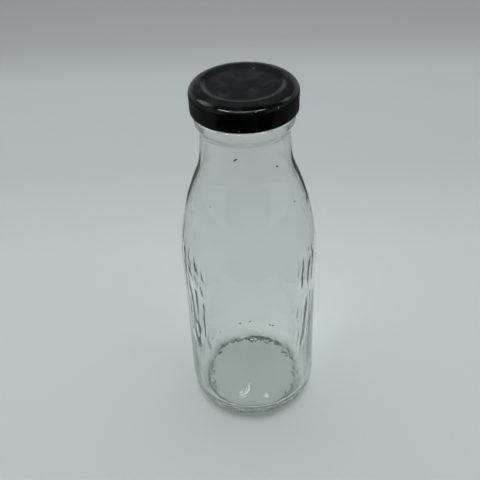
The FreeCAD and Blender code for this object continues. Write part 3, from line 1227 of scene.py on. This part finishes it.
@dataclass
class Studio:
    """A pale sweep darkened with distance by painted shade, soft lamps, dark flags and the camera."""

    sweep_radius: float = 1.0
    sweep_round: float = 0.35
    sweep_height: float = 0.72
    # Sweep colours near, middle and far: the darkening with distance is painted shade; the wall is
    # paler.
    near: Colour = (0.510, 0.560, 0.555)
    middle: Colour = (0.466, 0.502, 0.499)
    far: Colour = (0.380, 0.395, 0.402)
    wall: Colour = (0.700, 0.750, 0.750)
    ambient: Colour = (0.106, 0.111, 0.116)
    ceiling: Colour = (0.230, 0.240, 0.250)
    ambient_front: Colour = (0.010, 0.010, 0.010)
    horizon: Colour = (0.300, 0.335, 0.335)
    lens: float = 46.27
    sensor: float = 36.0
    eye: Place = (0.0, -0.20527, 0.25809)
    heading: float = -1.045
    dip: float = 39.382
    roll: float = -2.577
    turns: int = 64
    lamps: tuple[SoftLamp, ...] = STUDIO_LAMPS
    flags: tuple[Flag, ...] = STUDIO_FLAGS

    def _sweep_material(self) -> bpy.types.Material:
        """Pale paper, darker the further it lies behind the bottle: painted shade for light that falls
        off with distance.
        """
        made, board = start_material("pale_sweep")
        place = board.place()
        parts = board.add("SeparateXYZ", {"Vector": place})
        behind = board.reckon("ADD", parts.outputs["Y"], parts.outputs["Z"])
        # Painted shade: the ramp darkens the paper behind the bottle, then pales it up the wall.
        ramp = board.add("ValToRGB", {"Fac": behind})
        stops = ramp.color_ramp.elements
        stops[0].position = 0.10
        stops[0].color = (*self.near, 1.0)
        stops[1].position = 1.0
        stops[1].color = (*self.wall, 1.0)
        for colour, start, end in ((self.middle, 0.20, 0.36), (self.far, 0.46, 0.62)):
            stops.new(start).color = (*colour, 1.0)
            stops.new(end).color = (*colour, 1.0)
        board.coat(
            {
                "Roughness": 0.9,
                "Specular IOR Level": 0.0,
                "Base Color": ramp.outputs["Color"],
                "Normal": board.relief(board.speckle(place, 420.0, 3.0), 0.00005, 0.3),
            }
        )
        return made

    def lay_sweep(self) -> None:
        """Lays the round floor that curves up into a wall."""
        pen = Outline()
        scale = 1.0 / MM
        pen.start(0.0, 0.0, Wall.OUTSIDE)
        pen.line_to(self.sweep_radius * scale, 0.0, 100.0)
        outer = self.sweep_radius + self.sweep_round
        pen.arc_to(outer * scale, self.sweep_round * scale, self.sweep_round * scale, 30.0)
        pen.line_to(outer * scale, self.sweep_height * scale, 100.0)
        turning = Turning("sweep", pen, 96, lambda station, angle: (station.radius, station.height))
        sweep = turning.build()
        sweep.data.flip_normals()
        sweep.data.materials.append(self._sweep_material())

    def fill_room(self) -> None:
        """Gives the room a dim, even light that fades to black towards the front."""
        world = bpy.data.worlds.new("room")
        bpy.context.scene.world = world
        world.use_nodes = True
        board = NodeBoard(world.node_tree)
        direction = board.add("TexCoord").outputs["Generated"]
        parts = board.add("SeparateXYZ", {"Vector": direction})
        high = board.spread(parts.outputs["Z"], (0.55, 0.85), (0.0, 1.0))
        share = board.spread(parts.outputs["Y"], (-0.06, 0.10), (0.0, 1.0))
        lit = board.blend(share, self.ambient_front, board.blend(high, self.ambient, self.ceiling))
        seen = board.add("LightPath").outputs["Is Camera Ray"]
        room = board.add("Background", {"Strength": 1.0, "Color": board.blend(seen, lit, self.horizon)})
        board.add("OutputWorld", {"Surface": room.outputs["Background"]})

    def stand_camera(self) -> None:
        """Stands the camera in front of and above the bottle, looking down at it."""
        heading = math.radians(self.heading)
        dip = math.radians(self.dip)
        roll = math.radians(self.roll)
        ahead = Vector(
            (math.sin(heading) * math.cos(dip), math.cos(heading) * math.cos(dip), -math.sin(dip))
        )
        level = ahead.cross(Vector((0.0, 0.0, 1.0))).normalized()
        upright = level.cross(ahead)
        right = level * math.cos(roll) + upright * math.sin(roll)
        up = upright * math.cos(roll) - level * math.sin(roll)
        turned = Matrix((right, up, -ahead)).transposed()
        data = bpy.data.cameras.new("camera")
        data.lens = self.lens
        data.sensor_width = self.sensor
        data.clip_start = 0.01
        data.clip_end = 20.0
        camera = put_in_scene("camera", data)
        camera.matrix_world = Matrix.Translation(self.eye) @ turned.to_4x4()
        bpy.context.scene.camera = camera

    def let_light_turn(self) -> None:
        """Lets light turn often inside the thick foot, where the usual limit leaves it black."""
        paths = bpy.context.scene.cycles
        paths.max_bounces = self.turns
        paths.glossy_bounces = self.turns
        paths.transmission_bounces = self.turns

    def build(self) -> None:
        """Sets up the sweep, the room, the lamps, the flags and the camera."""
        self.lay_sweep()
        self.fill_room()
        low, high = CAD_BOX
        for lamp in self.lamps:
            lamp.hang((low + high) / 2.0)
        for flag in self.flags:
            flag.set_up()
        self.stand_camera()
        self.let_light_turn()
        bpy.context.scene.view_settings.view_transform = "Standard"


def main() -> None:
    """Builds the glass, the cap, the sealing ring and the studio, in that order."""
    logging.basicConfig(level=logging.INFO, format="%(name)s: %(message)s")
    for piece in (MilkBottleGlass().build(), TwistOffCap().build(), SealingRing().build()):
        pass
    Studio().build()


if __name__ == "__main__":
    main()
